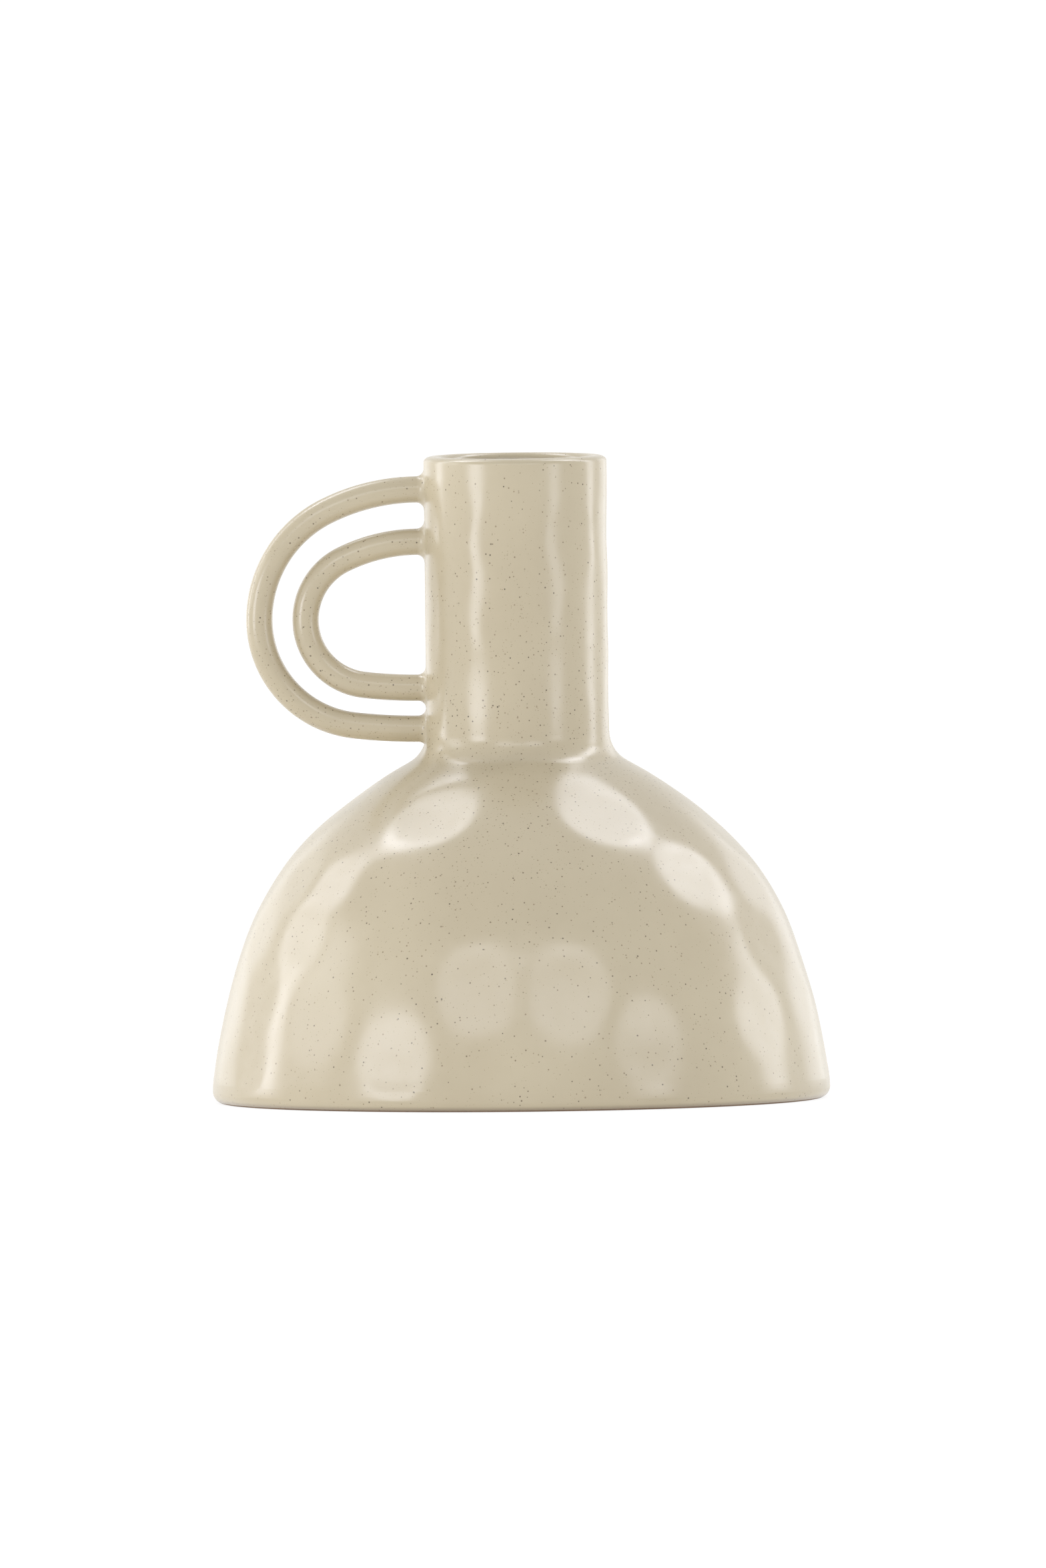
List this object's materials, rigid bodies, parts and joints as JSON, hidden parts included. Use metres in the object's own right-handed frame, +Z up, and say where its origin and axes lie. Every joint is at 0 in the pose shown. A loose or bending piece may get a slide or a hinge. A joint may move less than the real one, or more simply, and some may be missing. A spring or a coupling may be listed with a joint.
{
  "type": "stoneware vase",
  "caption": "Stoneware vase with a domed body, a straight cylindrical neck and a side handle of nested loops.",
  "frame": {"origin": "centre of the foot ring, on the plane that the vase stands on", "axes": "+Z up through the neck and out of the mouth, the handle points along -X, +Y is the back"},
  "size_m": [0.2392, 0.2392, 0.25],
  "materials": {
    "glaze": "satin cream glaze with dark iron specks",
    "foot_clay": "bare matt stoneware on the foot ring"
  },
  "bodies": {
    "root": {"floor_slab": "foot_clay", "floor_seam_coil": "glaze", "body_wall": "glaze", "neck_tube": "glaze", "neck_collar": "glaze", "rim_coil": "glaze", "outer_handle": "glaze", "inner_handle": "glaze", "outer_upper_root": "glaze", "outer_lower_root": "glaze", "inner_upper_root": "glaze", "inner_lower_root": "glaze"}
  },
  "joints": []
}
